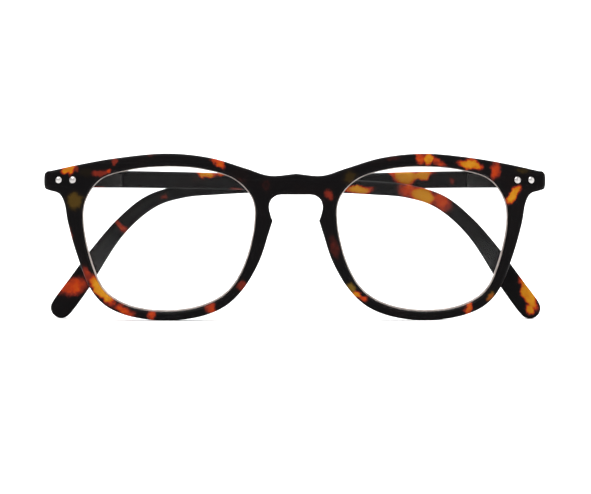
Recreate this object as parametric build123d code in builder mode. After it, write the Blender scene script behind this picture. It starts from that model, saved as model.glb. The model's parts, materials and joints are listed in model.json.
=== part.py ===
from build123d import *
import os
from math import cos, radians, sin

# Folding reading glasses, folded: the temples lie behind the front, the right one nearer to it.
# +Z is up, the front faces -Y, and +X is the wearer's left. Millimetres. The origin is on the
# ground under the middle of the folded glasses, which stand on their rims and temple tips.
# Shapes are drawn for the left side (+X); the right side is their mirror image.

# Front
FRONT_Y = -10.23            # foremost point of the bridge
WRAP_RADIUS = 420.0         # the front is part of a shallow sphere
FRONT_THICKNESS = 4.0
RIM_CENTRE_Z = 22.8
HALF_WIDTH = 70.5
GROOVE_DEPTH = 0.6
LENS_EDGE_STEPS = 32        # points on an outline that follows the lens edge
GROOVE_WIDTH = 1.0

# Lenses
LENS_THICKNESS = 2.0
LENS_CLEARANCE = 0.05
BEVEL_WIDTH = 0.9

# End pieces, where the hinges sit
END_START_X = 60.6
END_BOTTOM_Z = 35.6
END_BACK_Y = FRONT_Y + 10.2

# Hinges
HINGE_X = 64.3
HINGE_Y = END_BACK_Y + 1.9
HINGE_Z = 39.3
HINGE_HEIGHT = 4.2
KNUCKLE_RADIUS = 1.45
MIDDLE_KNUCKLE = 1.54
KNUCKLE_GAP = 0.08
PLATE_WIDTH = 7.2
PLATE_THICKNESS = 0.9
SCREW_RADIUS = 0.6
SCREW_CLEARANCE = 0.04
SCREW_HEAD_RADIUS = 1.0
SCREW_HEAD_HEIGHT = 0.5
SCREW_SLOT = 0.25
WEB_HALF_WIDTH = 1.3
RIVET_SPACING = 4.0
RIVET_SHANK_RADIUS = 0.55
RIVET_HEAD_RADIUS = 0.9
RIVET_HEAD_HEIGHT = 0.3

# Spring hinge, measured along the temple from the hinge's axis, and outwards from it
ROD_OFFSET = 1.65           # the rod's line, outside the hinge's axis
HOUSING_START = 2.3
HOUSING_END = 15.3
HOUSING_HEIGHT = 3.4
HOUSING_CORNER = 0.5
HOUSING_INNER = 0.2
HOUSING_OUTER = 3.2
SHANK_END = 4.6
SHANK_THICKNESS = 1.4
ROD_RADIUS = 0.45
ROD_END = 14.0
SPRING_START = 5.5
SPRING_END = 12.8
SPRING_RADIUS = 0.78        # to the middle of the wire
SPRING_WIRE = 0.3
SPRING_TURNS = 9
COLLAR_RADIUS = 0.9
COLLAR_LENGTH = 0.6
CAVITY_RADIUS = 1.0
CAVITY_END = 14.7

# Temples, in the same two directions
TEMPLE_INNER = 2.5
TEMPLE_OUTER = 5.9
TEMPLE_BUTT = -1.8
LEFT_OPENED = 1.8           # degrees short of lying along the front
RIGHT_OPENED = -1.3         # degrees folded past it, so that the left one passes behind
RELIEF = 0.06               # gap between parts that move against each other

FAR = 80.0                  # larger than half of the glasses
COLUMN_HALF = 30.0
END_CORNER_TOP = 40.5
END_CORNER_BOTTOM = 37.9

# Nose rests: distance behind the front, middle, width and height of each section
REST_SECTIONS = [(-2.0, 10.1, 3.2, 15.5), (2.0, 10.3, 3.0, 14.5), (6.0, 10.9, 2.3, 11.5)]
REST_Z = 22.5
REST_TILT = 15.0

# Half outline of the front, from the top of the bridge out to the end piece
TOP_EDGE = [
    (0, 41.1), (7.3, 40.55), (14.2, 42.65), (24, 45.55), (36, 46.75), (50, 45.5), (60, 43.8), (69.3, 41.8),
]
# under the end piece and round the rim to the lower corner of the nose rest
RIM_EDGE = [
    (68.9, 36.35), (66.3, 35.5), (64.9, 33.0), (63.9, 27.6), (61.2, 18.0), (57.3, 8.5), (53.3, 4.1),
    (46.8, 1.25), (37.0, 0.0), (27.0, 1.05), (19.8, 4.0), (14.7, 8.9), (10.2, 16.6), (7.6, 24.4), (6.5, 27.9),
]
# from that corner up to the round corner under the bridge
NOSE_EDGE = [(6.5, 27.9), (7.1, 29.6), (7.5, 31.9)]
BRIDGE_CORNER = (4.2, 35.2)
BRIDGE_UNDERSIDE = (0, 35.2)
LENS_EDGE = [
    (36.3, 43.2), (46.5, 42.25), (54.7, 39.6), (58.9, 34.0), (59.7, 27.6), (57.1, 15.2), (53.5, 8.0),
    (46.8, 3.9), (36.3, 2.4), (26.0, 4.0), (18.9, 8.0), (14.3, 15.2), (11.3, 27.6), (12.0, 34.2),
    (17.0, 39.6), (26.2, 42.5),
]

# Side view of a temple: distance from the hinge's axis, height
TEMPLE_TOP = [(-1.8, 42.0), (18, 41.95), (43, 41.35), (70, 39.75), (88, 38.95), (98, 37.75)]
TEMPLE_DROP_TOP = [(98, 37.75), (107, 34.7), (115, 28.2), (122.7, 19.3), (128.9, 11.0), (133.41, 4.79)]
TEMPLE_TIP = [(133.41, 4.79), (133.13, 0.89), (128.65, 1.14)]
TEMPLE_BOTTOM = [
    (128.65, 1.14), (123.5, 8.0), (113.0, 24.0), (104.0, 31.7), (96.0, 34.3), (86.0, 35.2), (60.0, 36.35),
    (25, 37.05), (-1.8, 37.2),
]
# View of a temple from above: distance from the hinge's axis, offset inwards
TEMPLE_INNER_FACE = [(84, -2.5), (110, -2.1), (136, -0.9)]
TEMPLE_OUTER_FACE = [(136, -3.6), (110, -4.8), (60, -5.7), (10, -5.9)]


def temple_frame(opened):
    """Directions along the left temple and outwards from it."""
    angle = radians(opened)
    return Vector(-cos(angle), sin(angle), 0), Vector(sin(angle), cos(angle), 0)


def side_plane(offset, opened):
    """Plane of a temple's side view: x runs along the temple, y is up, z is outwards."""
    along, out = temple_frame(opened)
    return Plane(origin=Vector(HINGE_X, HINGE_Y, 0) + out * offset, x_dir=along, z_dir=out)


def plan_plane(height, opened):
    """Plane of a temple's view from above: x runs along the temple, y is inwards, z is up."""
    along, out = temple_frame(opened)
    return Plane(origin=(HINGE_X, HINGE_Y, height), x_dir=along, z_dir=(0, 0, 1))


def rod_plane(distance, opened):
    """Plane across the spring's rod, facing along the temple; its x is up and its y is across."""
    along, out = temple_frame(opened)
    centre = Vector(HINGE_X, HINGE_Y, HINGE_Z) + along * distance + out * ROD_OFFSET
    return Plane(origin=centre, x_dir=(0, 0, 1), z_dir=along)


def mirrored(piece):
    """The same piece for the other side of the glasses."""
    with BuildPart() as other:
        add(piece)
        mirror(about=Plane.YZ, mode=Mode.REPLACE)
    return other.part


def both_sides(piece):
    """A piece and its mirror image."""
    with BuildPart() as pair:
        add(piece)
        mirror(about=Plane.YZ)
    return pair.part


def ball(depth):
    """The sphere that lies a given depth behind the front's outer surface."""
    with BuildPart() as solid:
        with Locations((0, FRONT_Y + WRAP_RADIUS, RIM_CENTRE_Z)):
            Sphere(WRAP_RADIUS - depth)
    return solid.part


def lens_column(grow):
    """The left lens opening's outline, grown all round and drawn out along Y."""
    edge = Spline(LENS_EDGE, periodic=True, mode=Mode.PRIVATE)
    steps = [step / LENS_EDGE_STEPS for step in range(LENS_EDGE_STEPS)]
    outwards = [(edge % step).rotate(Axis.Z, 90) for step in steps]
    with BuildPart() as column:
        with BuildSketch(Plane.XZ):
            with BuildLine():
                Spline([edge @ step + out * grow for step, out in zip(steps, outwards)], periodic=True)
            make_face()
        extrude(amount=COLUMN_HALF, both=True)
    return column.part


def lens_layer(grow, depth, thickness):
    """The part of a lens column between two depths of the wrapped surface."""
    with BuildPart() as layer:
        add(lens_column(grow))
        add(ball(depth), mode=Mode.INTERSECT)
        add(ball(depth + thickness), mode=Mode.SUBTRACT)
    return layer.part


def outline_column():
    """The outline of the whole front, drawn out along Y."""
    with BuildPart() as column:
        with BuildSketch(Plane.XZ):
            with BuildLine():
                top = Spline(TOP_EDGE, tangents=[(1, 0), (1, -0.22)])
                end = Line((HALF_WIDTH, END_CORNER_TOP), (HALF_WIDTH, END_CORNER_BOTTOM))
                Spline(top @ 1, end @ 0, tangents=[top % 1, end % 0])
                Spline(end @ 1, RIM_EDGE[0], tangents=[end % 1, (-1, 0)])
                Spline(RIM_EDGE)
                Spline(NOSE_EDGE)
                TangentArc(NOSE_EDGE[-1], BRIDGE_CORNER, tangent=(0, 1))
                Polyline(BRIDGE_CORNER, BRIDGE_UNDERSIDE, TOP_EDGE[0])
            make_face()
        extrude(amount=COLUMN_HALF, both=True)
        mirror(about=Plane.YZ)
    return column.part


def space_behind():
    """Everything behind the wrapped front, except the blocks that carry the hinges."""
    block_height = FAR - END_BOTTOM_Z
    with BuildPart() as space:
        add(ball(FRONT_THICKNESS))
        for side in (-1, 1):
            with Locations((side * (END_START_X + FAR / 2), 0, END_BOTTOM_Z + block_height / 2)):
                Box(FAR, FAR, block_height, mode=Mode.SUBTRACT)
        with Locations((0, END_BACK_Y + FAR / 2, 0)):
            Box(2 * FAR, FAR, 2 * FAR)
    return space.part


def nose_rest():
    """The left nose rest: a rounded ridge that leans outwards as it runs back."""
    back = FRONT_Y + FRONT_THICKNESS
    with BuildPart() as rest:
        for reach, centre_x, width, height in REST_SECTIONS:
            with BuildSketch(Plane.XZ.offset(-(back + reach))):
                with Locations(Location((centre_x, REST_Z, 0), REST_TILT)):
                    Ellipse(width / 2, height / 2)
        loft()
    return rest.part


def hinge_seat():
    """What the left end piece loses to its hinge: the plate's recess and two rivet holes."""
    with BuildPart() as seat:
        with Locations((HINGE_X, END_BACK_Y - PLATE_THICKNESS / 2, HINGE_Z)):
            Box(PLATE_WIDTH, PLATE_THICKNESS, HINGE_HEIGHT)
        with Locations((HINGE_X, 0, HINGE_Z)):
            with GridLocations(RIVET_SPACING, 1, 2, 1):
                Cylinder(RIVET_SHANK_RADIUS, FAR, rotation=(90, 0, 0))
    return seat.part


def front_frame():
    groove_depth = (FRONT_THICKNESS - GROOVE_WIDTH) / 2
    with BuildPart() as front:
        add(outline_column())
        add(ball(0), mode=Mode.INTERSECT)
        add(both_sides(lens_column(0)), mode=Mode.SUBTRACT)
        add(space_behind(), mode=Mode.SUBTRACT)
        add(both_sides(nose_rest()))
        add(both_sides(lens_layer(GROOVE_DEPTH, groove_depth, GROOVE_WIDTH)), mode=Mode.SUBTRACT)
        add(both_sides(hinge_seat()), mode=Mode.SUBTRACT)
    return front.part


def lens():
    """The left lens: a thin curved slab with a bevel that sits in the rim's groove."""
    with BuildPart() as glass:
        add(lens_layer(-LENS_CLEARANCE, (FRONT_THICKNESS - LENS_THICKNESS) / 2, LENS_THICKNESS))
        bevel_depth = (FRONT_THICKNESS - BEVEL_WIDTH) / 2
        add(lens_layer(GROOVE_DEPTH - LENS_CLEARANCE, bevel_depth, BEVEL_WIDTH))
    return glass.part


def hinge_plate():
    """Plate sunk in the end piece, with the two outer knuckles on webs behind it."""
    knuckle = (HINGE_HEIGHT - MIDDLE_KNUCKLE) / 2 - KNUCKLE_GAP
    with BuildPart() as plate:
        with Locations((HINGE_X, END_BACK_Y - PLATE_THICKNESS / 2, HINGE_Z)):
            Box(PLATE_WIDTH, PLATE_THICKNESS, HINGE_HEIGHT)
            with GridLocations(RIVET_SPACING, 1, 2, 1):
                Cylinder(RIVET_SHANK_RADIUS, FAR, rotation=(90, 0, 0), mode=Mode.SUBTRACT)
        web = HINGE_Y - END_BACK_Y
        for end in (-1, 1):
            middle_z = HINGE_Z + end * (HINGE_HEIGHT - knuckle) / 2
            with Locations((HINGE_X, HINGE_Y, middle_z)):
                Cylinder(KNUCKLE_RADIUS, knuckle)
            with Locations((HINGE_X, HINGE_Y - web / 2, middle_z)):
                Box(2 * WEB_HALF_WIDTH, web, knuckle)
        with Locations((HINGE_X, HINGE_Y, HINGE_Z)):
            Cylinder(SCREW_RADIUS, HINGE_HEIGHT, mode=Mode.SUBTRACT)
        with Locations((HINGE_X, HINGE_Y, HINGE_Z + HINGE_HEIGHT / 2 - SCREW_HEAD_HEIGHT / 2)):
            Cylinder(SCREW_HEAD_RADIUS, SCREW_HEAD_HEIGHT, mode=Mode.SUBTRACT)
    return plate.part


def hinge_screw():
    """Slotted screw through the three knuckles, its head sunk in the top one."""
    top = HINGE_Z + HINGE_HEIGHT / 2
    with BuildPart() as screw:
        with Locations((HINGE_X, HINGE_Y, HINGE_Z)):
            Cylinder(SCREW_RADIUS, HINGE_HEIGHT)
        with Locations((HINGE_X, HINGE_Y, top - SCREW_HEAD_HEIGHT / 2)):
            Cylinder(SCREW_HEAD_RADIUS, SCREW_HEAD_HEIGHT)
        with Locations((HINGE_X, HINGE_Y, top)):
            Box(2 * SCREW_HEAD_RADIUS, SCREW_SLOT, SCREW_SLOT, mode=Mode.SUBTRACT)
    return screw.part


def rivet(x):
    """Rivet through the end piece: low domed head in front, shank through to the plate's back."""
    face_y = FRONT_Y + WRAP_RADIUS - (WRAP_RADIUS**2 - x**2 - (HINGE_Z - RIM_CENTRE_Z) ** 2) ** 0.5
    dome = (RIVET_HEAD_RADIUS**2 + RIVET_HEAD_HEIGHT**2) / (2 * RIVET_HEAD_HEIGHT)
    with BuildPart() as pin:
        with Locations((x, face_y - RIVET_HEAD_HEIGHT + dome, HINGE_Z)):
            Sphere(dome)
        add(ball(0), mode=Mode.SUBTRACT)
        with BuildSketch(Plane.XZ.offset(-END_BACK_Y)):
            with Locations((x, HINGE_Z)):
                Circle(RIVET_SHANK_RADIUS)
        extrude(amount=END_BACK_Y - face_y + RIVET_HEAD_HEIGHT / 2)
    return pin.part


def slider(opened):
    """Middle knuckle of the hinge with its shank and the rod that the spring sits on."""
    with BuildPart() as piece:
        with BuildSketch(plan_plane(HINGE_Z - MIDDLE_KNUCKLE / 2, opened)):
            Circle(KNUCKLE_RADIUS)
            with Locations((SHANK_END / 2, -ROD_OFFSET)):
                Rectangle(SHANK_END, SHANK_THICKNESS)
            Circle(SCREW_RADIUS + SCREW_CLEARANCE, mode=Mode.SUBTRACT)
        extrude(amount=MIDDLE_KNUCKLE)
        with BuildSketch(rod_plane(SHANK_END, opened)):
            Circle(ROD_RADIUS)
        extrude(amount=ROD_END - SHANK_END)
    return piece.part


def rod_collar(opened):
    """Collar pressed on the rod's end, which the spring pushes against."""
    with BuildPart() as collar:
        with BuildSketch(rod_plane(SPRING_END, opened)):
            Circle(COLLAR_RADIUS)
            Circle(ROD_RADIUS, mode=Mode.SUBTRACT)
        extrude(amount=COLLAR_LENGTH)
    return collar.part


def coil_spring(opened):
    """Compression spring round the rod."""
    start = rod_plane(SPRING_START + SPRING_WIRE, opened)
    length = SPRING_END - SPRING_START - 2 * SPRING_WIRE
    with BuildPart() as spring:
        with BuildLine():
            coil = Helix(length / SPRING_TURNS, length, SPRING_RADIUS, start.origin, start.z_dir)
        with BuildSketch(Plane(origin=coil @ 0, z_dir=coil % 0)):
            Circle(SPRING_WIRE / 2)
        sweep(path=coil, is_frenet=True)
    return spring.part


def housing_block(opened):
    """Outer shape of the spring housing, which the temple's seat follows."""
    with BuildPart() as block:
        with BuildSketch(side_plane(HOUSING_INNER, opened)):
            with Locations(((HOUSING_START + HOUSING_END) / 2, HINGE_Z)):
                RectangleRounded(HOUSING_END - HOUSING_START, HOUSING_HEIGHT, HOUSING_CORNER)
        extrude(amount=HOUSING_OUTER - HOUSING_INNER)
    return block.part


def spring_housing(opened):
    """Case of the spring hinge: a shouldered mouth for the shank and a bore for the spring."""
    with BuildPart() as case:
        add(housing_block(opened))
        with BuildSketch(rod_plane(HOUSING_START, opened)):
            Rectangle(MIDDLE_KNUCKLE + 2 * RELIEF, SHANK_THICKNESS + 2 * RELIEF)
        extrude(amount=SPRING_START - HOUSING_START, mode=Mode.SUBTRACT)
        with BuildSketch(rod_plane(SPRING_START, opened)):
            Circle(CAVITY_RADIUS)
        extrude(amount=CAVITY_END - SPRING_START, mode=Mode.SUBTRACT)
    return case.part


def temple(opened):
    """Temple: its side outline, as deep as its view from above, with a seat for the housing."""
    with BuildPart() as arm:
        with BuildSketch(side_plane(0, opened)):
            with BuildLine():
                top = Spline(TEMPLE_TOP)
                tip = ThreePointArc(TEMPLE_TIP)
                Spline(TEMPLE_DROP_TOP, tangents=[top % 1, tip % 0])
                Spline(TEMPLE_BOTTOM, tangents=[tip % 1, (-1, 0)])
                Line(TEMPLE_BOTTOM[-1], TEMPLE_TOP[0])
            make_face()
        extrude(amount=COLUMN_HALF, both=True)
        with BuildSketch(plan_plane(-FAR / 2, opened)):
            with BuildLine():
                inner = Spline(TEMPLE_INNER_FACE, tangents=[(1, 0), (1, 0.08)])
                outer = Spline(TEMPLE_OUTER_FACE, tangents=[(-1, -0.08), (-1, 0)])
                Line(inner @ 1, outer @ 0)
                Polyline(outer @ 1, (TEMPLE_BUTT, -TEMPLE_OUTER), (TEMPLE_BUTT, -TEMPLE_INNER), inner @ 0)
            make_face()
        extrude(amount=2 * FAR, mode=Mode.INTERSECT)
        add(housing_block(opened), mode=Mode.SUBTRACT)
    return arm.part


def write(name, piece):
    piece.label = name
    export_step(piece, f"parts/{name}.step")


os.makedirs("parts", exist_ok=True)
write("front_frame", front_frame())
for side, opened in (("left", LEFT_OPENED), ("right", RIGHT_OPENED)):
    pieces = {
        "lens": lens(),
        "hinge_plate": hinge_plate(),
        "hinge_screw": hinge_screw(),
        "inner_rivet": rivet(HINGE_X - RIVET_SPACING / 2),
        "outer_rivet": rivet(HINGE_X + RIVET_SPACING / 2),
        "hinge_slider": slider(opened),
        "rod_collar": rod_collar(opened),
        "coil_spring": coil_spring(opened),
        "spring_housing": spring_housing(opened),
        "temple": temple(opened),
    }
    for name, piece in pieces.items():
        write(f"{side}_{name}", piece if side == "left" else mirrored(piece))
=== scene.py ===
import json
import math
import bmesh
import bpy
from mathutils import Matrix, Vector


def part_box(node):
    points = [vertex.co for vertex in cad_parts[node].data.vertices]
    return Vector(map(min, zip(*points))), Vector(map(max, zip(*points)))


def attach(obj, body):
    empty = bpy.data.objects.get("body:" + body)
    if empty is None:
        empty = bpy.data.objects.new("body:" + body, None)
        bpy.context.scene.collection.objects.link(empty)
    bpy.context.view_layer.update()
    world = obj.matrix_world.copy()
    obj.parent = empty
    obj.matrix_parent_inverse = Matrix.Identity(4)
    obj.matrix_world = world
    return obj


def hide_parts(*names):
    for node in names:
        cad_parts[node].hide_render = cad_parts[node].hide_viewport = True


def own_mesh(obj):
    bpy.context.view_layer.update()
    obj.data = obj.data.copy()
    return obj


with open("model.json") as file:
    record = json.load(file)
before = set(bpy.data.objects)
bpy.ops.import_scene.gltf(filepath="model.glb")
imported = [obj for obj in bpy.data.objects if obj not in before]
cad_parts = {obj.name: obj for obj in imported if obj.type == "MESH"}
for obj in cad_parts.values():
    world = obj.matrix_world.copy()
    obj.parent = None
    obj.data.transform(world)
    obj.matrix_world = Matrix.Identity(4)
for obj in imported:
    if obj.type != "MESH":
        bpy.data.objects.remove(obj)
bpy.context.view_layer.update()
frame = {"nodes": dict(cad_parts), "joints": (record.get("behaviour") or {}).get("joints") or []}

MM = 0.001

# Folding reading glasses. The front, lenses, temples and springs are built here to replace the CAD's;
# the hinges' other parts keep their CAD meshes and get their materials here.

# ---------------------------------------------------------------- sizes, in millimetres
# Shapes are given for the left half: +X is the wearer's left, +Z is up, and the front faces -Y.
WRAP_RADIUS = 420.0
RIM_CENTRE_Z = 22.8
FRONT_THICKNESS = 4.0
FRONT_EDGE = 0.85            # rounding of the front's edges
HINGE_PLATE = 0.9            # thickness of the plate sunk in an end piece's back
END_BACK = 10.2              # how far that back is behind the foremost point of the bridge
FRONT_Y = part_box("left_hinge_plate")[0].y / MM + HINGE_PLATE - END_BACK   # the foremost point's Y

END_BLOCK = (60.7, 70.1, 36.9, 41.9)   # hinge blocks on the back: low x, high x, low z, high z
END_BLOCK_BACK = 10.12       # their flat back, behind the foremost point of the bridge
END_BLOCK_THICKNESS = 4.5
END_BLOCK_EDGE = 0.7
END_BLOCK_CORNER = 0.9
CORNER_STEPS = 5

LENS_CENTRE_X = 35.5
LENS_DEPTH = 1.0             # outer surface of a lens, behind the front's
LENS_THICKNESS = 2.0
LENS_OVERLAP = 0.15          # how far a lens runs into the rim
LENS_LIGHT_BAND = 0.38             # width of the pale band painted at the lens's edge for the light its bevel catches, at mid height
LENS_LIGHT_BAND_SPREAD = 0.45      # how much wider that painted light is at the bottom, where the light from above falls, and narrower at the top
LENS_RINGS = (0.12, 0.25, 0.38, 0.5, 0.62, 0.73, 0.83, 0.91, 0.96)   # rings of vertices, from the centre

TOP_EDGE = [
    (0, 41.1), (7.3, 40.55), (14.2, 42.65), (24, 45.55), (36, 46.75), (50, 45.5), (60, 43.8),
    (69.3, 41.8),
]
END_EDGE = [(70.25, 41.35), (70.5, 40.5), (70.5, 37.9), (70.2, 36.9)]
RIM_EDGE = [
    (68.9, 36.35), (66.3, 35.5), (64.9, 33.0), (63.9, 27.6), (61.2, 18.0), (57.3, 8.5), (53.3, 4.1),
    (46.8, 1.25), (37.0, 0.0), (27.0, 1.05), (19.8, 4.0), (14.7, 8.9), (10.2, 16.6), (7.6, 24.4),
    (6.5, 27.9),
]
NOSE_EDGE = [(7.1, 29.6), (7.5, 31.9), (6.9, 33.8), (5.5, 34.9), (4.2, 35.2)]
LENS_EDGE = [
    (36.3, 43.2), (46.5, 42.25), (54.7, 39.6), (58.9, 34.0), (59.7, 27.6), (57.1, 15.2), (53.5, 8.0),
    (46.8, 3.9), (36.3, 2.4), (26.0, 4.0), (18.9, 8.0), (14.3, 15.2), (11.3, 27.6), (12.0, 34.2),
    (17.0, 39.6), (26.2, 42.5),
]
# Nose rests: distance behind the front, middle, width and height of each section
REST_SECTIONS = [
    (-1.5, 10.1, 3.2, 15.0), (1.0, 10.2, 3.1, 15.0), (3.5, 10.5, 2.8, 13.8), (5.9, 10.9, 2.3, 11.2),
]
REST_Z = 22.5
REST_TILT = math.radians(15.0)
REST_AROUND = 40             # vertices round a section
REST_DOME = 1.0              # how far the rounded end runs on behind the last section
REST_DOME_STEPS = 4
REST_DOME_TURN = 21.0        # degrees that the surface turns in a step
REST_DOME_INSET = 1.1        # how far the end draws in, across
REST_DOME_INSET_TALL = 1.6   # and upwards, as a multiple of that
REST_DOME_LEAN = 0.2         # how far it moves outwards

# Side view of a temple: distance from the hinge's axis, height
TEMPLE_SIDE = [
    (-1.8, 42.0), (18, 41.95), (43, 41.35), (70, 39.75), (88, 38.95), (98, 37.75), (107, 34.7),
    (115, 28.2), (122.7, 19.3), (128.9, 11.0), (133.41, 4.79), (133.98, 3.35), (133.76, 1.81),
    (132.79, 0.59), (131.35, 0.02), (129.81, 0.24), (128.65, 1.14), (123.5, 8.0), (113.0, 24.0),
    (104.0, 31.7), (96.0, 34.3), (86.0, 35.2), (60.0, 36.35), (25, 37.05), (-1.8, 37.2),
]
TEMPLE_THICKNESS = 3.4
TEMPLE_EDGE = 0.85
TEMPLE_INNER = 2.5           # inner and outer face, outwards from the hinge's axis
TEMPLE_OUTER = 5.9
BEND_START = 84.0
TAPER_START = 10.0
BEND_END = 136.0             # where both the bend and the taper end
TIP_BEND = 1.6               # how far the inner face bends in by there
TIP_TAPER = 2.3              # the same for the outer face
BEND_POWER = 2.0
TAPER_POWER = 2.8

# ---------------------------------------------------------------- curves and meshes
EDGE_STEPS = 4               # segments in a rounded edge, less one
SAME_PLACE = 0.002           # vertices this near are joined
NORMAL_WEIGHT = 60


def smooth_line(points, closed=False, step=0.8):
    """Points about a step apart on a smooth curve (centripetal Catmull-Rom) through given points."""
    pts = [Vector((p[0], p[1])) for p in points]
    count = len(pts)
    line = []
    for i in range(count if closed else count - 1):
        if closed:
            quad = [pts[(i + k) % count] for k in (-1, 0, 1, 2)]
        else:
            before = pts[i - 1] if i else pts[0] * 2 - pts[1]
            after = pts[i + 2] if i + 2 < count else pts[-1] * 2 - pts[-2]
            quad = [before, pts[i], pts[i + 1], after]
        p0, p1, p2, p3 = quad
        t0 = 0.0
        t1 = t0 + (p1 - p0).length ** 0.5
        t2 = t1 + (p2 - p1).length ** 0.5
        t3 = t2 + (p3 - p2).length ** 0.5
        pieces = max(2, round((p2 - p1).length / step))
        for j in range(pieces):
            t = t1 + (t2 - t1) * j / pieces
            a1 = p0 * ((t1 - t) / (t1 - t0)) + p1 * ((t - t0) / (t1 - t0))
            a2 = p1 * ((t2 - t) / (t2 - t1)) + p2 * ((t - t1) / (t2 - t1))
            a3 = p2 * ((t3 - t) / (t3 - t2)) + p3 * ((t - t2) / (t3 - t2))
            b1 = a1 * ((t2 - t) / (t2 - t0)) + a2 * ((t - t0) / (t2 - t0))
            b2 = a2 * ((t3 - t) / (t3 - t1)) + a3 * ((t - t1) / (t3 - t1))
            line.append(b1 * ((t2 - t) / (t2 - t1)) + b2 * ((t - t1) / (t2 - t1)))
    if not closed:
        line.append(pts[-1])
    return line


def flipped(points):
    """The same line on the other side, run through backwards."""
    return [Vector((-p.x, p.y)) for p in reversed(points)]


def face_outwards(mesh, merge=0.0):
    """Turns a mesh's faces outwards, after joining vertices that are no further apart than merge."""
    work = bmesh.new()
    work.from_mesh(mesh)
    if merge:
        bmesh.ops.remove_doubles(work, verts=work.verts, dist=merge)
    bmesh.ops.recalc_face_normals(work, faces=work.faces)
    work.to_mesh(mesh)
    work.free()


def plate(name, loops, thickness, edge):
    """Mesh of a flat rounded plate cut to closed loops, which lies in X and Y."""
    curve = bpy.data.curves.new(name, "CURVE")
    curve.dimensions = "2D"
    curve.fill_mode = "BOTH"
    for loop in loops:
        spline = curve.splines.new("POLY")
        spline.points.add(len(loop) - 1)
        for point, place in zip(spline.points, loop):
            point.co = (place.x, place.y, 0, 1)
        spline.use_cyclic_u = True
    curve.extrude = thickness / 2 - edge
    curve.bevel_depth = edge
    curve.bevel_resolution = EDGE_STEPS
    curve.offset = -edge
    maker = bpy.data.objects.new(name + "_curve", curve)
    bpy.context.scene.collection.objects.link(maker)
    bpy.context.view_layer.update()
    mesh = bpy.data.meshes.new_from_object(maker.evaluated_get(bpy.context.evaluated_depsgraph_get()))
    bpy.data.objects.remove(maker)
    bpy.data.curves.remove(curve)
    face_outwards(mesh, merge=SAME_PLACE)
    mesh.name = name
    return mesh


def piece(name, mesh, body, *materials):
    """Object from a mesh, smooth shaded, riding on a body."""
    obj = bpy.data.objects.new(name, mesh)
    bpy.context.scene.collection.objects.link(obj)
    for material in materials:
        mesh.materials.append(material)
    for face in mesh.polygons:
        face.use_smooth = True
    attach(obj, body)
    return obj


def apply_modifier(obj, kind, **settings):
    """Gives an object the mesh that a modifier makes of it."""
    modifier = obj.modifiers.new(kind.lower(), kind)
    for key, value in settings.items():
        setattr(modifier, key, value)
    bpy.context.view_layer.update()
    result = bpy.data.meshes.new_from_object(obj.evaluated_get(bpy.context.evaluated_depsgraph_get()))
    obj.modifiers.clear()
    obj.data = result


# ---------------------------------------------------------------- front
def surface_y(x, z):
    """Y of the front's wrapped outer surface."""
    return FRONT_Y + WRAP_RADIUS - math.sqrt(WRAP_RADIUS**2 - x**2 - (z - RIM_CENTRE_Z) ** 2)


def wrap(mesh, thickness):
    """Turns a flat plate upright, front side to -Y, and bends it to the front's outer surface."""
    for vertex in mesh.vertices:
        x, z, depth = vertex.co.x, vertex.co.y, thickness / 2 - vertex.co.z
        vertex.co = Vector((x, surface_y(x, z) + depth, z)) * MM


def front_outline():
    """Closed outline of the whole front."""
    left = smooth_line(TOP_EDGE)[:-1]
    left += smooth_line([TOP_EDGE[-1]] + END_EDGE + [RIM_EDGE[0]], step=0.3)[1:-1]
    left += smooth_line(RIM_EDGE)[:-1]
    left += smooth_line([RIM_EDGE[-1]] + NOSE_EDGE, step=0.5)
    return left + flipped(left)[:-1]


def lens_outline(side):
    """Closed outline of a lens opening."""
    line = smooth_line(LENS_EDGE, closed=True)
    return line if side > 0 else flipped(line)


def end_block(side):
    """Thick block at the back of an end piece that the hinge is sunk in."""
    low_x, high_x, low_z, high_z = END_BLOCK
    low_x, low_z = low_x + END_BLOCK_CORNER, low_z + END_BLOCK_CORNER
    high_x, high_z = high_x - END_BLOCK_CORNER, high_z - END_BLOCK_CORNER
    centres = ((high_x, low_z), (high_x, high_z), (low_x, high_z), (low_x, low_z))
    loop = []
    for quarter, centre in enumerate(centres):
        for step in range(CORNER_STEPS + 1):
            angle = math.radians(90 * (quarter - 1 + step / CORNER_STEPS))
            loop.append(Vector(centre) + Vector((math.cos(angle), math.sin(angle))) * END_BLOCK_CORNER)
    if side < 0:
        loop = flipped(loop)
    mesh = plate("block", [loop], END_BLOCK_THICKNESS, END_BLOCK_EDGE)
    middle = FRONT_Y + END_BLOCK_BACK - END_BLOCK_THICKNESS / 2
    for vertex in mesh.vertices:
        vertex.co = Vector((vertex.co.x, middle - vertex.co.z, vertex.co.y)) * MM
    return mesh


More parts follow.
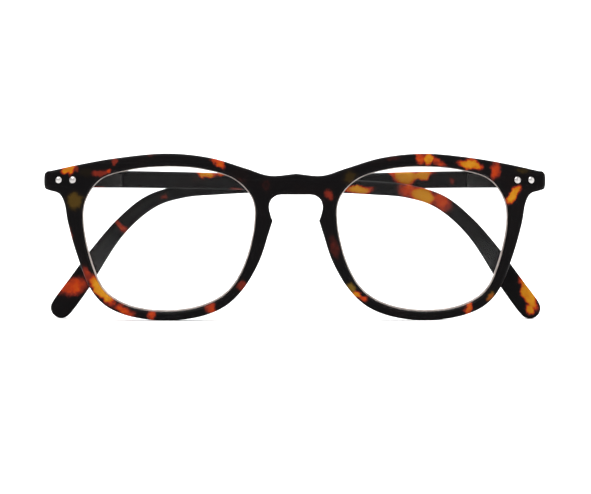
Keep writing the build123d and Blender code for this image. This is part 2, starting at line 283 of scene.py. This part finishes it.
def nose_rest(side):
    """Rounded ridge at the back of the rim that leans outwards as it runs back."""
    rings = [(reach, centre_x, width / 2, height / 2) for reach, centre_x, width, height in REST_SECTIONS]
    reach, centre_x, half_w, half_h = rings[-1]
    for step in range(1, REST_DOME_STEPS + 1):
        turn = math.radians(step * REST_DOME_TURN)
        inset = REST_DOME_INSET * (1 - math.cos(turn))
        lean = REST_DOME_LEAN * step / REST_DOME_STEPS
        rings.append((reach + REST_DOME * math.sin(turn), centre_x + lean,
                      half_w - inset, half_h - inset * REST_DOME_INSET_TALL))
    mesh = bpy.data.meshes.new("rest")
    work = bmesh.new()
    previous = None
    for reach, centre_x, half_w, half_h in rings:
        y = FRONT_Y + FRONT_THICKNESS + reach
        ring = []
        for step in range(REST_AROUND):
            angle = 2 * math.pi * step / REST_AROUND
            u, v = half_w * math.cos(angle), half_h * math.sin(angle)
            x = centre_x + u * math.cos(REST_TILT) - v * math.sin(REST_TILT)
            z = REST_Z + u * math.sin(REST_TILT) + v * math.cos(REST_TILT)
            ring.append(work.verts.new(Vector((side * x, y, z)) * MM))
        if previous:
            for step in range(REST_AROUND):
                after = (step + 1) % REST_AROUND
                work.faces.new((previous[step], previous[after], ring[after], ring[step]))
        else:
            work.faces.new(ring)
        previous = ring
    work.faces.new(previous)
    bmesh.ops.recalc_face_normals(work, faces=work.faces)
    work.to_mesh(mesh)
    work.free()
    return mesh


def union(obj, mesh):
    """Joins a closed mesh to an object's closed mesh."""
    other = bpy.data.objects.new("joined", mesh)
    bpy.context.scene.collection.objects.link(other)
    apply_modifier(obj, "BOOLEAN", operation="UNION", solver="EXACT", object=other)
    bpy.data.objects.remove(other)


def make_front(material):
    """The whole front: one moulded piece with its hinge blocks and nose rests."""
    loops = [front_outline(), lens_outline(1), lens_outline(-1)]
    mesh = plate("front", loops, FRONT_THICKNESS, FRONT_EDGE)
    wrap(mesh, FRONT_THICKNESS)
    obj = piece("front_body", mesh, "front", material)
    for side in (-1, 1):
        union(obj, nose_rest(side))
        union(obj, end_block(side))
    for face in obj.data.polygons:
        face.use_smooth = True
    apply_modifier(obj, "WEIGHTED_NORMAL", keep_sharp=True, weight=NORMAL_WEIGHT)
    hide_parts("front_frame")


def make_lens(side, glass, edge):
    """Thin curved lens: two faces of rings and spokes, with a pale outermost ring that is painted light
    caught by the lens's bevel.
    """
    name = "left" if side > 0 else "right"
    outline = lens_outline(side)
    count = len(outline)
    centre = Vector((side * LENS_CENTRE_X, RIM_CENTRE_Z))
    inner = []
    for p in outline:
        # the painted edge light widens towards the bottom, where the light from above falls
        spread = 1 + LENS_LIGHT_BAND_SPREAD * (centre.y - p.y) / centre.y
        inner.append(p - (p - centre).normalized() * LENS_LIGHT_BAND * spread)
    outer = [p + (p - centre).normalized() * LENS_OVERLAP for p in outline]
    loops = [[centre + (p - centre) * share for p in inner] for share in LENS_RINGS] + [inner, outer]
    mesh = bpy.data.meshes.new(name + "_lens_glass")
    work = bmesh.new()

    def vertex(p, depth):
        return work.verts.new(Vector((p.x, surface_y(p.x, p.y) + depth, p.y)) * MM)

    edge_faces = []
    rims = []
    for depth in (LENS_DEPTH, LENS_DEPTH + LENS_THICKNESS):
        rings = [[vertex(p, depth) for p in loop] for loop in loops]
        middle = vertex(centre, depth)
        for step in range(count):
            after = (step + 1) % count
            work.faces.new((middle, rings[0][step], rings[0][after]))
            for low, high in zip(rings, rings[1:]):
                face = work.faces.new((low[step], high[step], high[after], low[after]))
            edge_faces.append(face)
        rims.append(rings[-1])
    front_rim, back_rim = rims
    for step in range(count):
        after = (step + 1) % count
        face = work.faces.new((front_rim[step], front_rim[after], back_rim[after], back_rim[step]))
        edge_faces.append(face)
    # the outer ring and the lens's side take the pale painted edge light
    for face in edge_faces:
        face.material_index = 1
    bmesh.ops.recalc_face_normals(work, faces=work.faces)
    work.to_mesh(mesh)
    work.free()
    obj = piece(name + "_lens_glass", mesh, "front", glass, edge)
    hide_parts(name + "_lens")


def temple_frame(side):
    """Point on the hinge's axis, and the directions along the temple and outwards from it."""
    name = "left" if side > 0 else "right"
    slide = next(j for j in frame["joints"] if j["name"] == name + "_spring_slide")
    fold = next(j for j in frame["joints"] if j["name"] == name + "_fold")
    along = Vector(slide["axis"])
    out = Vector((-along.y, along.x, 0)) if side < 0 else Vector((along.y, -along.x, 0))
    return Vector(fold["pos_m"]), along, out


def make_temple(side, material):
    """Temple: a rounded plate of its side view, thinned and bent in towards the tip."""
    name = "left" if side > 0 else "right"
    hinge, along, out = temple_frame(side)
    hinge.z = 0
    mesh = plate(name + "_temple_arm", [smooth_line(TEMPLE_SIDE)], TEMPLE_THICKNESS, TEMPLE_EDGE)
    for vertex in mesh.vertices:
        s, z = vertex.co.x, vertex.co.y
        share = vertex.co.z / TEMPLE_THICKNESS + 0.5
        bend = max(0.0, (s - BEND_START) / (BEND_END - BEND_START))
        taper = max(0.0, (s - TAPER_START) / (BEND_END - TAPER_START))
        inner = TEMPLE_INNER - TIP_BEND * bend**BEND_POWER
        outer = TEMPLE_OUTER - TIP_TAPER * taper**TAPER_POWER
        offset = inner + (outer - inner) * share
        vertex.co = hinge + (along * s + out * offset + Vector((0, 0, z))) * MM
    face_outwards(mesh)
    obj = piece(name + "_temple_arm", mesh, name + "_temple", material)
    apply_modifier(obj, "WEIGHTED_NORMAL", keep_sharp=True, weight=NORMAL_WEIGHT)
    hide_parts(name + "_temple")


def make_spring(side, material):
    """Coil spring, copied from the CAD's mesh, that rides on the temple."""
    name = "left" if side > 0 else "right"
    node = frame["nodes"][name + "_coil_spring"]
    mesh = node.data.copy()
    mesh.transform(node.matrix_world)
    mesh.materials.clear()
    obj = piece(name + "_spring_coil", mesh, name + "_temple", material)
    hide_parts(name + "_coil_spring")
    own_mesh(obj)


# ---------------------------------------------------------------- materials
class Nodes:
    """A new material, with short ways to add nodes to it."""

    def __init__(self, name):
        self.material = bpy.data.materials.new(name)
        self.material.use_nodes = True
        self.tree = self.material.node_tree
        self.tree.nodes.clear()
        self.output = self.add("ShaderNodeOutputMaterial")

    def add(self, kind, **settings):
        node = self.tree.nodes.new(kind)
        for key, value in settings.items():
            setattr(node, key, value)
        return node

    def link(self, source, target):
        self.tree.links.new(source, target)

    def math(self, operation, a, b=None, clamp=False):
        node = self.add("ShaderNodeMath", operation=operation, use_clamp=clamp)
        for socket, value in zip(node.inputs, (a, b)):
            if value is None:
                continue
            if isinstance(value, (int, float)):
                socket.default_value = value
            else:
                self.link(value, socket)
        return node.outputs[0]

    def place(self):
        """Place on the object at rest, in metres."""
        return self.add("ShaderNodeTexCoord").outputs["Object"]

    def noise(self, where, scale, detail=4.0, roughness=0.55):
        node = self.add("ShaderNodeTexNoise")
        node.inputs["Scale"].default_value = scale
        node.inputs["Detail"].default_value = detail
        node.inputs["Roughness"].default_value = roughness
        self.link(where, node.inputs["Vector"])
        return node

    def ramp(self, value, stops):
        node = self.add("ShaderNodeValToRGB")
        elements = node.color_ramp.elements
        while len(elements) < len(stops):
            elements.new(0.5)
        for element, (position, colour) in zip(elements, stops):
            element.position = position
            element.color = (*colour, 1)
        self.link(value, node.inputs["Fac"])
        return node.outputs["Color"]

    def span(self, value, low, high, to_low, to_high, smooth=False):
        """Maps low to high onto to_low to to_high."""
        node = self.add("ShaderNodeMapRange", interpolation_type="SMOOTHSTEP" if smooth else "LINEAR")
        self.link(value, node.inputs["Value"])
        ends = {"From Min": low, "From Max": high, "To Min": to_low, "To Max": to_high}
        for key, number in ends.items():
            node.inputs[key].default_value = number
        return node.outputs["Result"]

    def bump(self, height, strength, distance):
        node = self.add("ShaderNodeBump")
        node.inputs["Strength"].default_value = strength
        node.inputs["Distance"].default_value = distance
        self.link(height, node.inputs["Height"])
        return node.outputs["Normal"]

    def mix(self, fac, a, b, blend_type="MIX"):
        """Mixes two colours: the node's colour sockets are inputs 6 and 7, and output 2."""
        node = self.add("ShaderNodeMix", data_type="RGBA", blend_type=blend_type)
        for socket, value in ((node.inputs[0], fac), (node.inputs[6], a), (node.inputs[7], b)):
            if isinstance(value, tuple):
                socket.default_value = (*value, 1)
            elif isinstance(value, (int, float)):
                socket.default_value = value
            else:
                self.link(value, socket)
        return node.outputs[2]

    def principled(self, **values):
        node = self.add("ShaderNodeBsdfPrincipled")
        for key, value in values.items():
            node.inputs[key.replace("_", " ")].default_value = value
        self.link(node.outputs[0], self.output.inputs["Surface"])
        return node


# Patches in the tortoiseshell: x, z, half width, half height, turn in degrees, heat. They run through
# the plastic along Y. Heat goes from dark red-brown (0.3) through orange-red (0.6) to amber (0.9).
FRONT_PATCHES = [
    (-64.0, 42.3, 2.6, 1.5, 8, 0.86), (-61.9, 42.4, 1.8, 1.3, 8, 0.5), (-54.6, 41.2, 3.5, 1.5, 14, 0.47),
    (-52.3, 41.6, 1.4, 1.0, 20, 0.58), (-50.9, 44.6, 1.1, 1.9, 0, 0.46), (-40.4, 46.2, 1.8, 0.9, 0, 0.34),
    (-21.4, 44.4, 2.7, 1.4, -30, 0.63), (-8.5, 37.9, 1.6, 2.6, 0, 0.25), (-62.9, 23.8, 1.0, 3.4, 8, 0.42),
    (-58.9, 13.0, 1.9, 3.3, 24, 0.5), (-54.4, 8.4, 5.6, 1.9, -49, 1.0), (-47.6, 2.7, 4.3, 1.7, -24, 0.64),
    (-40.1, 1.4, 1.5, 3.6, 0, 0.61), (-24.1, 3.6, 1.6, 2.6, 15, 0.56), (-15.2, 9.9, 1.8, 1.8, 25, 0.47),
    (9.1, 35.1, 1.9, 2.2, 0, 0.47), (26.6, 45.5, 2.6, 1.0, 8, 0.3), (34.6, 45.3, 1.6, 2.2, 0, 0.6),
    (36.9, 45.3, 1.8, 2.2, 0, 0.92), (39.7, 44.4, 3.0, 1.6, -22, 0.57), (49.0, 43.7, 3.8, 1.8, -12, 0.95),
    (56.3, 42.1, 1.9, 3.4, -8, 0.58), (61.1, 35.4, 3.6, 1.5, 50, 0.93), (10.8, 20.5, 1.8, 4.6, 16, 0.34),
    (17.1, 7.5, 1.2, 1.3, 0, 0.88), (18.6, 6.1, 1.8, 1.2, -30, 0.62), (48.3, 2.9, 1.4, 2.6, 0, 0.7),
    (54.8, 6.6, 1.2, 1.9, -30, 0.53),
]
FRONT_OLIVE = [
    (-61.9, 33.4, 2.8, 3.0, 0, 0.44), (-58.8, 41.2, 2.8, 2.0, 0, 0.25), (15.2, 40.0, 2.8, 2.0, 25, 0.31),
    (64.0, 42.0, 2.9, 1.2, -10, 0.3), (15.4, 8.5, 1.8, 2.4, 30, 0.75), (54.9, 6.7, 1.2, 1.9, -30, 0.62),
]
TEMPLE_PATCHES = {
    "right": [
        (-56.2, 38.1, 3.3, 1.1, 0, 0.42), (-24.9, 41.0, 3.4, 1.3, -6, 0.88),
        (-19.9, 41.3, 3.8, 0.8, -3, 0.7), (-16.6, 36.2, 3.4, 0.8, 2, 0.55),
        (17.8, 36.7, 4.8, 1.3, -2, 0.93), (32.6, 36.1, 4.0, 2.6, -8, 0.62),
        (36.4, 34.7, 4.2, 2.7, -25, 0.96), (41.2, 33.2, 4.2, 3.0, -30, 0.6),
        (66.3, 7.3, 1.9, 6.3, 24, 0.93), (66.6, 2.8, 1.7, 2.2, 0, 0.88),
    ],
    "left": [
        (31.4, 40.2, 3.9, 2.9, 2, 0.95), (36.0, 40.6, 4.4, 1.5, 10, 0.9),
        (28.3, 41.2, 2.0, 1.3, -20, 0.58), (45.0, 39.1, 1.1, 1.2, 0, 0.43),
        (-37.0, 34.7, 1.5, 1.3, 0, 0.43), (-50.0, 26.6, 4.6, 1.3, -49, 0.54),
        (-63.6, 9.1, 5.4, 3.4, 15, 0.62), (-67.3, 7.7, 1.2, 1.2, 0, 0.76),
    ],
}
SHELL_COLOURS = [
    (0.0, (0.0022, 0.0018, 0.0021)), (0.2, (0.0036, 0.0021, 0.0022)), (0.32, (0.022, 0.0042, 0.0034)),
    (0.5, (0.135, 0.0135, 0.0065)), (0.62, (0.33, 0.029, 0.0035)), (0.8, (0.35, 0.11, 0.0035)),
    (1.0, (0.42, 0.172, 0.008)),
]
OLIVE_COLOURS = [(0.0, (0.0, 0.0, 0.0)), (0.25, (0.006, 0.004, 0.0015)), (1.0, (0.17, 0.092, 0.010))]
WORN_COLOUR = (0.045, 0.038, 0.038)
PATCH_CORE = 0.35            # where a patch begins to fade, as a share of its half width and height
PATCH_EDGE = 1.4             # where it ends
RAGGED = 0.0042              # how far noise moves the patches' edges, in metres


def patch_field(n, where, patches):
    """The highest heat of any patch at each point."""
    heat = None
    for x, z, half_w, half_h, turn, peak in patches:
        local = n.add("ShaderNodeMapping", vector_type="TEXTURE")
        local.inputs["Location"].default_value = (x * MM, 0, z * MM)
        local.inputs["Rotation"].default_value = (0, -math.radians(turn), 0)
        local.inputs["Scale"].default_value = (half_w * MM, 1.0, half_h * MM)
        n.link(where, local.inputs["Vector"])
        length = n.add("ShaderNodeVectorMath", operation="LENGTH")
        n.link(local.outputs[0], length.inputs[0])
        spot = n.span(length.outputs["Value"], PATCH_CORE, PATCH_EDGE, peak, 0.0, smooth=True)
        heat = spot if heat is None else n.math("MAXIMUM", heat, spot)
    return heat


def ragged_place(n, where):
    """The place on the object, moved a little by noise, which frays the patches' edges."""
    wobble = n.noise(where, scale=300, detail=5, roughness=0.62)
    shift = n.add("ShaderNodeVectorMath", operation="SUBTRACT")
    n.link(wobble.outputs["Color"], shift.inputs[0])
    shift.inputs[1].default_value = (0.5, 0.5, 0.5)
    scaled = n.add("ShaderNodeVectorMath", operation="SCALE")
    n.link(shift.outputs[0], scaled.inputs[0])
    scaled.inputs["Scale"].default_value = RAGGED
    moved = n.add("ShaderNodeVectorMath", operation="ADD")
    n.link(where, moved.inputs[0])
    n.link(scaled.outputs[0], moved.inputs[1])
    return moved.outputs[0]


def tortoiseshell(name, patches, olive=()):
    """Soft matte plastic: near-black with glowing patches, faint mottling and slightly worn edges."""
    n = Nodes(name)
    where = n.place()
    moved = ragged_place(n, where)
    heat = patch_field(n, moved, patches)
    streaks = n.noise(where, scale=480, detail=3)
    uneven = n.math("MULTIPLY", n.math("SUBTRACT", streaks.outputs["Fac"], 0.5), 0.55)
    heat = n.math("ADD", heat, n.math("MULTIPLY", uneven, heat), clamp=True)
    clouds = n.noise(where, scale=95, detail=3)
    mottle = n.span(clouds.outputs["Fac"], 0.5, 0.8, 0.0, 0.3, smooth=True)
    colour = n.ramp(n.math("MAXIMUM", heat, mottle), SHELL_COLOURS)
    if olive:
        tint = n.ramp(patch_field(n, moved, olive), OLIVE_COLOURS)
        colour = n.mix(1.0, colour, tint, blend_type="LIGHTEN")
    worn = n.span(n.add("ShaderNodeNewGeometry").outputs["Pointiness"], 0.5, 0.62, 0.0, 0.10)
    colour = n.mix(worn, colour, WORN_COLOUR)
    shader = n.principled(IOR=1.5, Specular_IOR_Level=0.045)
    n.link(colour, shader.inputs["Base Color"])
    smear = n.noise(where, scale=60, detail=5)
    n.link(n.span(smear.outputs["Fac"], 0.3, 0.7, 0.36, 0.5), shader.inputs["Roughness"])
    touch = n.noise(where, scale=5200, detail=2)
    n.link(n.bump(touch.outputs["Fac"], strength=0.22, distance=0.00005), shader.inputs["Normal"])
    return n.material


def clear_lens():
    """Clear lens with the faintest tint and haze. It casts no shadow."""
    n = Nodes("lens_clear")
    where = n.place()
    shader = n.principled(IOR=1.22, Transmission_Weight=1.0)
    haze = n.noise(where, scale=140, detail=6)
    n.link(n.span(haze.outputs["Fac"], 0.45, 0.8, 0.0, 0.035), shader.inputs["Roughness"])
    n.link(n.ramp(haze.outputs["Fac"], [(0.0, (0.985, 0.992, 0.99)), (1.0, (0.97, 0.985, 0.98))]),
           shader.inputs["Base Color"])
    clear = n.add("ShaderNodeBsdfTransparent")
    path = n.add("ShaderNodeLightPath")
    blend = n.add("ShaderNodeMixShader")
    n.link(path.outputs["Is Shadow Ray"], blend.inputs[0])
    n.link(shader.outputs[0], blend.inputs[1])
    n.link(clear.outputs[0], blend.inputs[2])
    n.link(blend.outputs[0], n.output.inputs["Surface"])
    return n.material


def painted_lens_edge_light():
    """Painted light at the lens's edge where it enters the rim: pale and a little pink, standing in for
    the light its bevel catches.
    """
    n = Nodes("lens_edge_painted_light")
    streak = n.noise(n.place(), scale=420, detail=3)
    shader = n.principled(IOR=1.5)
    n.link(n.ramp(streak.outputs["Fac"], [(0.3, (0.37, 0.31, 0.285)), (0.7, (0.62, 0.555, 0.52))]),
           shader.inputs["Base Color"])
    n.link(n.span(streak.outputs["Fac"], 0.3, 0.7, 0.3, 0.5), shader.inputs["Roughness"])
    return n.material


# Metals: light colour, smudged colour, roughness, and the stretch of the fine lines along each axis
METALS = {
    "hinge_satin": ((0.46, 0.445, 0.42), (0.30, 0.29, 0.275), 0.36, (1, 1, 7)),
    "screw_bright": ((0.56, 0.55, 0.54), (0.38, 0.37, 0.36), 0.26, (1, 1, 1)),
    "rivet_silver": ((0.57, 0.55, 0.54), (0.46, 0.44, 0.43), 0.36, (1, 1, 1)),
    "case_black": ((0.030, 0.029, 0.029), (0.016, 0.0155, 0.0155), 0.42, (1, 1, 7)),
    "spring_wire": ((0.42, 0.42, 0.44), (0.26, 0.26, 0.28), 0.28, (5, 1, 1)),
}
FINISHES = {
    "hinge_plate": "hinge_satin", "hinge_screw": "screw_bright", "inner_rivet": "rivet_silver",
    "outer_rivet": "rivet_silver", "hinge_slider": "hinge_satin", "rod_collar": "spring_wire",
    "spring_housing": "case_black",
}


def metal(name):
    """Drawn or brushed metal: fine lines along one direction, with smudged patches."""
    colour, dark, roughness, stretch = METALS[name]
    n = Nodes(name)
    where = n.place()
    stretched = n.add("ShaderNodeMapping")
    stretched.inputs["Scale"].default_value = stretch
    n.link(where, stretched.inputs["Vector"])
    lines = n.noise(stretched.outputs[0], scale=900, detail=4)
    smudge = n.noise(where, scale=260, detail=4)
    shader = n.principled(Metallic=1.0)
    n.link(n.ramp(smudge.outputs["Fac"], [(0.35, dark), (0.62, colour)]), shader.inputs["Base Color"])
    spread = n.math("ADD", n.span(lines.outputs["Fac"], 0.3, 0.7, -0.06, 0.06), roughness)
    n.link(spread, shader.inputs["Roughness"])
    n.link(n.bump(lines.outputs["Fac"], strength=0.18, distance=0.00003), shader.inputs["Normal"])
    return n.material


# ---------------------------------------------------------------- build
def build():
    make_front(tortoiseshell("shell_front", FRONT_PATCHES, FRONT_OLIVE))
    # edge is the pale band painted at each lens's edge for the light its bevel catches
    glass, edge = clear_lens(), painted_lens_edge_light()
    metals = {name: metal(name) for name in METALS}
    for side in (1, -1):
        name = "left" if side > 0 else "right"
        make_lens(side, glass, edge)
        make_spring(side, metals["spring_wire"])
        make_temple(side, tortoiseshell("shell_" + name + "_temple", TEMPLE_PATCHES[name]))
        for part, finish in FINISHES.items():
            frame["nodes"][f"{name}_{part}"].material_slots[0].material = metals[finish]


# ---------------------------------------------------------------- studio, in metres
VIEW_CENTRE = Vector((0.0, -0.004, 0.0205))
VIEW_WIDTH = 0.1662          # how much of the object's plane the picture takes in
LENS_MM = 150.0
SENSOR_MM = 36.0
NEAREST = 0.01
FARTHEST = 20.0
AZIMUTH = math.radians(-1.5)  # a little to the wearer's right of straight in front
ELEVATION = math.radians(1.2)

BACKDROP_HALF = 3.0          # half its width, and how far it runs towards the camera
COVE_START = 0.9             # where the floor begins to turn up into the wall
COVE_RADIUS = 0.6
COVE_STEPS = 10
WALL_TOP = 3.5
PAPER = [(0.3, (0.86, 0.86, 0.86)), (0.7, (0.88, 0.88, 0.88))]
SURROUND = 0.6               # brightness of the even white surround

# Square lights: name, place, what it points at, size, power in watts
GLASSES = (0, 0, 0.02)
LIGHTS = [
    ("key", (-0.35, -0.55, 0.95), GLASSES, 0.7, 9.0), ("fill", (0.8, -0.7, 0.45), GLASSES, 0.7, 3.5),
    ("back", (0.1, 0.55, 0.8), GLASSES, 0.6, 3.2), ("wall", (0.0, 0.55, 1.1), (0, 1.4, 0.2), 1.0, 26.0),
]


def camera():
    data = bpy.data.cameras.new("camera")
    data.lens = LENS_MM
    data.sensor_width = SENSOR_MM
    data.clip_start = NEAREST
    data.clip_end = FARTHEST
    obj = bpy.data.objects.new("camera", data)
    bpy.context.scene.collection.objects.link(obj)
    distance = LENS_MM / SENSOR_MM * VIEW_WIDTH
    away = Vector((math.sin(AZIMUTH) * math.cos(ELEVATION), -math.cos(AZIMUTH) * math.cos(ELEVATION),
                   math.sin(ELEVATION)))
    obj.location = VIEW_CENTRE + away * distance
    obj.rotation_euler = (-away).to_track_quat("-Z", "Y").to_euler()
    bpy.context.scene.camera = obj


def backdrop():
    """Pale paper: a floor that turns up into a wall far behind."""
    profile = [(-BACKDROP_HALF, 0.0), (COVE_START, 0.0)]
    for step in range(1, COVE_STEPS + 1):
        angle = math.radians(90 * step / COVE_STEPS)
        profile.append((COVE_START + COVE_RADIUS * math.sin(angle), COVE_RADIUS * (1 - math.cos(angle))))
    profile.append((COVE_START + COVE_RADIUS, WALL_TOP))
    work = bmesh.new()
    low, high = ([work.verts.new((x, y, z)) for y, z in profile] for x in (-BACKDROP_HALF, BACKDROP_HALF))
    for step in range(len(profile) - 1):
        work.faces.new((low[step], high[step], high[step + 1], low[step + 1]))
    mesh = bpy.data.meshes.new("backdrop")
    work.to_mesh(mesh)
    work.free()
    for face in mesh.polygons:
        face.use_smooth = True
    floor = bpy.data.objects.new("backdrop", mesh)
    bpy.context.scene.collection.objects.link(floor)
    n = Nodes("backdrop_paper")
    shader = n.principled(Roughness=0.9, Specular_IOR_Level=0.1)
    paper = n.noise(n.place(), scale=30, detail=5)
    n.link(n.ramp(paper.outputs["Fac"], PAPER), shader.inputs["Base Color"])
    mesh.materials.append(n.material)


def lights():
    for name, place, target, size, power in LIGHTS:
        light = bpy.data.lights.new(name, "AREA")
        light.shape = "SQUARE"
        light.size = size
        light.energy = power
        obj = bpy.data.objects.new(name, light)
        obj.location = place
        obj.rotation_euler = (Vector(target) - Vector(place)).to_track_quat("-Z", "Y").to_euler()
        bpy.context.scene.collection.objects.link(obj)
    world = bpy.data.worlds.new("surround")
    world.use_nodes = True
    world.node_tree.nodes["Background"].inputs["Color"].default_value = (1, 1, 1, 1)
    world.node_tree.nodes["Background"].inputs["Strength"].default_value = SURROUND
    bpy.context.scene.world = world
    bpy.context.scene.view_settings.view_transform = "Standard"


camera()
build()
backdrop()
lights()
